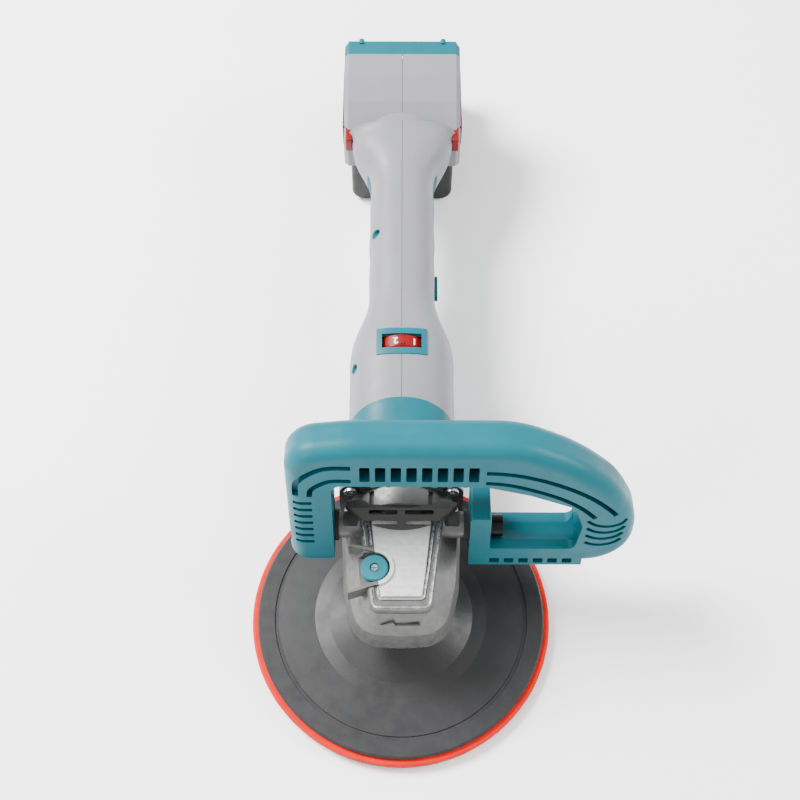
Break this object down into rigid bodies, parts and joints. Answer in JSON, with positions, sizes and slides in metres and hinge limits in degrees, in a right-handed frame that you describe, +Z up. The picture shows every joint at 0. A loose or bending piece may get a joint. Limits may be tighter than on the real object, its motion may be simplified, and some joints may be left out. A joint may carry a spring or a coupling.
{
  "type": "cordless rotary polisher",
  "caption": "Battery right-angle car polisher with hook-and-loop pad, wide D-shaped front handle, speed dial and slide-on pack.",
  "frame": {"origin": "centre of the pad's working face, on the output spindle's axis", "axes": "+Z up along the spindle away from the work, -Y towards the gear head's nose, +Y towards the battery, +X towards the handle's long loop (the user's left)"},
  "size_m": [0.2311, 0.5184, 0.163],
  "materials": {
    "teal_plastic": "satin, fine moulded texture",
    "teal_grip": "soft overmould",
    "grey_plastic": "satin, fine moulded texture",
    "dark_plastic": "satin",
    "red_plastic": "satin gloss",
    "plate_plastic": "satin moulded, faint grain",
    "foam": "closed-cell foam",
    "hook_cloth": "hook fabric",
    "cast_alloy": "die cast, satin",
    "steel": "ground",
    "black_steel": "black oxide",
    "black_rubber": "matt",
    "bronze": "sintered",
    "lamination": "laminated",
    "magnet": "nickel",
    "copper": "enamelled wire",
    "board": "glass-fibre board",
    "cell_wrap": "shrink wrap"
  },
  "bodies": {
    "housing": {"spindle_bearing_outer": "steel", "gear_case": "cast_alloy", "air_baffle": "dark_plastic", "bearing_retainer": "cast_alloy", "retainer_screws": "steel", "head_screws": "steel", "upper_bush": "bronze", "spindle_seal": "black_rubber", "bearing_plate": "cast_alloy", "plate_screws": "steel", "stator_core": "lamination", "stator_windings": "copper", "rear_bracket": "dark_plastic", "left_housing": "grey_plastic", "right_housing": "grey_plastic", "front_band": "teal_plastic", "left_grip": "teal_grip", "right_grip": "teal_grip", "dial_bezel": "teal_plastic", "rear_bumper": "teal_plastic", "housing_screws": "steel", "loop_handle": "teal_plastic", "handle_bolts": "black_steel", "handle_spacers": "black_rubber", "terminal_block": "dark_plastic", "trigger_pin": "steel", "switch_module": "dark_plastic", "speed_board": "board", "control_board": "board", "rear_bearing_outer": "steel", "front_bearing_outer": "steel", "lock_spring": "steel", "latch_spring_left": "steel", "latch_spring_right": "steel"},
    "spindle_set": {"spindle": "steel", "gear_clip": "steel", "spindle_bearing_inner": "steel", "crown_gear": "steel", "plate_hub": "steel", "backing_plate": "plate_plastic", "foam_layer": "foam", "hook_face": "hook_cloth"},
    "motor_set": {"motor_shaft": "steel", "pinion": "steel", "pinion_nut": "steel", "rotor_core": "lamination", "rotor_magnets": "magnet", "cooling_fan": "dark_plastic", "front_bearing_inner": "steel", "rear_bearing_inner": "steel"},
    "lock_set": {"lock_button": "teal_plastic", "lock_pin": "steel"},
    "dial_set": {"speed_dial": "red_plastic"},
    "trigger_set": {"trigger": "dark_plastic"},
    "lock_on_set": {"lock_on_button": "dark_plastic"},
    "battery_set": {"battery_case": "dark_plastic", "battery_lid": "dark_plastic", "battery_cells": "cell_wrap"},
    "latch_left_set": {"latch_left": "red_plastic"},
    "latch_right_set": {"latch_right": "red_plastic"}
  },
  "joints": [
    {"name": "spindle_spin", "type": "hinge", "parent": "housing", "child": "spindle_set", "pos_m": [0, 0, 0], "axis": [0, 0, 1], "continuous": true},
    {"name": "motor_spin", "type": "hinge", "parent": "housing", "child": "motor_set", "pos_m": [0, 0, 0.062], "axis": [0, 1, 0], "continuous": true},
    {"name": "lock_press", "type": "slide", "parent": "housing", "child": "lock_set", "axis": [0, 0, -1], "range_m": [0, 0.0045], "stiffness_N_per_m": 500, "deforming": ["lock_spring"]},
    {"name": "dial_turn", "type": "hinge", "parent": "housing", "child": "dial_set", "pos_m": [0, 0.152, 0.078], "axis": [0, 1, 0], "range_deg": [-20, 180]},
    {"name": "trigger_pull", "type": "hinge", "parent": "housing", "child": "trigger_set", "pos_m": [0, 0.199, 0.0466], "axis": [1, 0, 0], "range_deg": [0, 6], "stiffness_Nm_per_rad": 1},
    {"name": "lock_on_press", "type": "slide", "parent": "housing", "child": "lock_on_set", "axis": [-1, 0, 0], "range_m": [0, 0.002], "stiffness_N_per_m": 400},
    {"name": "battery_slide", "type": "slide", "parent": "housing", "child": "battery_set", "axis": [0, 1, 0], "range_m": [0, 0.06]},
    {"name": "latch_left_press", "type": "slide", "parent": "housing", "child": "latch_left_set", "axis": [-1, 0, 0], "range_m": [0, 0.003], "stiffness_N_per_m": 600, "deforming": ["latch_spring_left"]},
    {"name": "latch_right_press", "type": "slide", "parent": "housing", "child": "latch_right_set", "axis": [1, 0, 0], "range_m": [0, 0.003], "stiffness_N_per_m": 600, "deforming": ["latch_spring_right"]}
  ],
  "couplings": [
    {"joint": "motor_spin", "follows": "spindle_spin", "ratio": 3.8}
  ]
}
